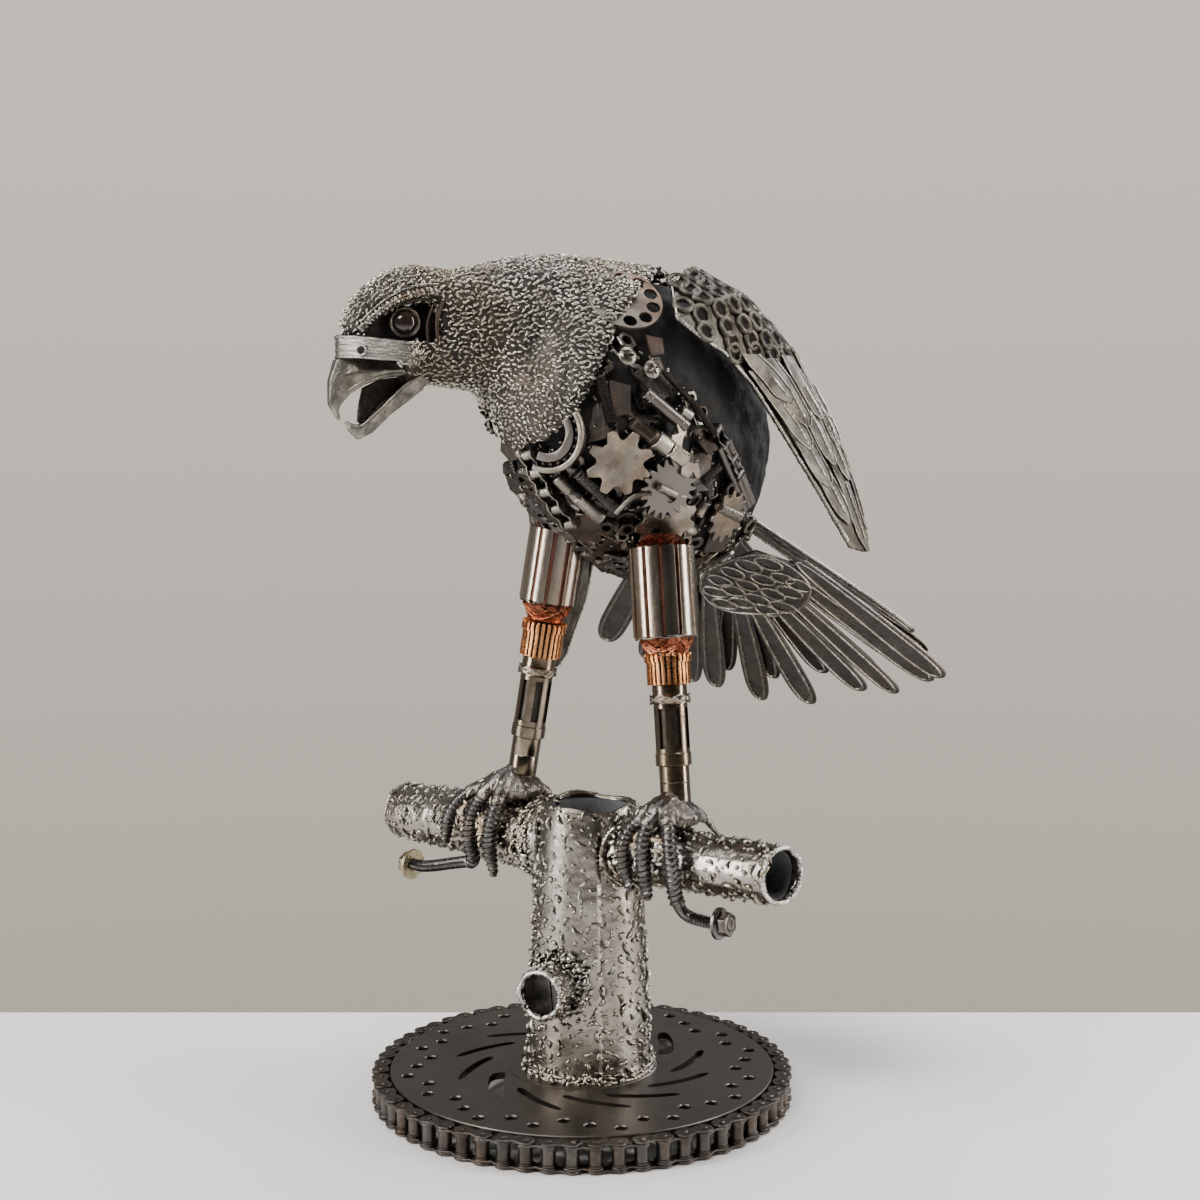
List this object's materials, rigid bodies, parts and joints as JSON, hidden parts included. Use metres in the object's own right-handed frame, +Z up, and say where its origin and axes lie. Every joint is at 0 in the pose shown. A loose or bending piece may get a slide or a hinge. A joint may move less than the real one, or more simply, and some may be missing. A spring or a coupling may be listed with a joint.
{
  "type": "scrap metal eagle sculpture",
  "caption": "Eagle of welded scrap steel leaning forward on a pipe perch, standing on a drilled disc ringed with roller chain.",
  "frame": {"origin": "centre of the disc's flat underside, 16.5 mm above the surface that the chain ring stands on", "axes": "+Z up; the perch runs along X; the bird faces -Y with its head turned to its right (-X); its tail points to +Y"},
  "size_m": [0.3625, 0.4665, 0.6165],
  "materials": {
    "weld_skin": "bright weld beads, satin, faint gold tint",
    "wing_steel": "satin steel with weld lines",
    "tail_steel": "heat-tinted steel with bright weld outlines",
    "dark_scrap": "oiled and rust-stained scrap",
    "pipe_steel": "satin pipe with raised weld spatter",
    "disc_steel": "satin brown-grey",
    "oiled_chain": "oiled brown-grey chain",
    "shank_steel": "polished steel with a bronze tint",
    "laminations": "polished laminations",
    "copper": "enamelled and bare copper",
    "eye_stone": "polished dark brown"
  },
  "bodies": {
    "root": {"armature_left": "laminations", "armature_right": "laminations", "bearing_ring": "dark_scrap", "brake_disc": "disc_steel", "brow_left": "dark_scrap", "brow_right": "dark_scrap", "chain_ring": "oiled_chain", "commutator_left": "copper", "commutator_right": "copper", "drilled_plate": "dark_scrap", "eye_left": "eye_stone", "eye_right": "eye_stone", "foot_hub_left": "weld_skin", "foot_hub_right": "weld_skin", "head_and_mantle": "weld_skin", "knot_stub": "pipe_steel", "lower_beak": "weld_skin", "mouth_plate": "dark_scrap", "nose_band": "weld_skin", "perch_left": "pipe_steel", "perch_right": "pipe_steel", "pin_roller": "dark_scrap", "shank_lower_left": "shank_steel", "shank_lower_right": "shank_steel", "shank_upper_left": "shank_steel", "shank_upper_right": "shank_steel", "spark_plug": "dark_scrap", "sprocket_bright": "dark_scrap", "sprocket_low": "dark_scrap", "sprocket_rear": "dark_scrap", "sprocket_toothed": "dark_scrap", "sprocket_worn": "dark_scrap", "tail_coverts": "tail_steel", "tail_feather_01": "tail_steel", "tail_feather_02": "tail_steel", "tail_feather_03": "tail_steel", "tail_feather_04": "tail_steel", "tail_feather_05": "tail_steel", "tail_feather_06": "tail_steel", "tail_feather_07": "tail_steel", "tail_feather_08": "tail_steel", "tail_feather_09": "tail_steel", "tail_feather_10": "tail_steel", "tail_roof_1": "tail_steel", "tail_roof_2": "tail_steel", "tail_roof_3": "tail_steel", "tail_roof_4": "tail_steel", "toe_left_1": "weld_skin", "toe_left_2": "weld_skin", "toe_left_3": "weld_skin", "toe_right_1": "weld_skin", "toe_right_2": "weld_skin", "toe_right_3": "weld_skin", "torso": "dark_scrap", "trunk": "pipe_steel", "upper_beak": "weld_skin", "winding_left": "copper", "winding_right": "copper", "wing_left": "wing_steel", "wing_right": "wing_steel"}
  },
  "joints": []
}
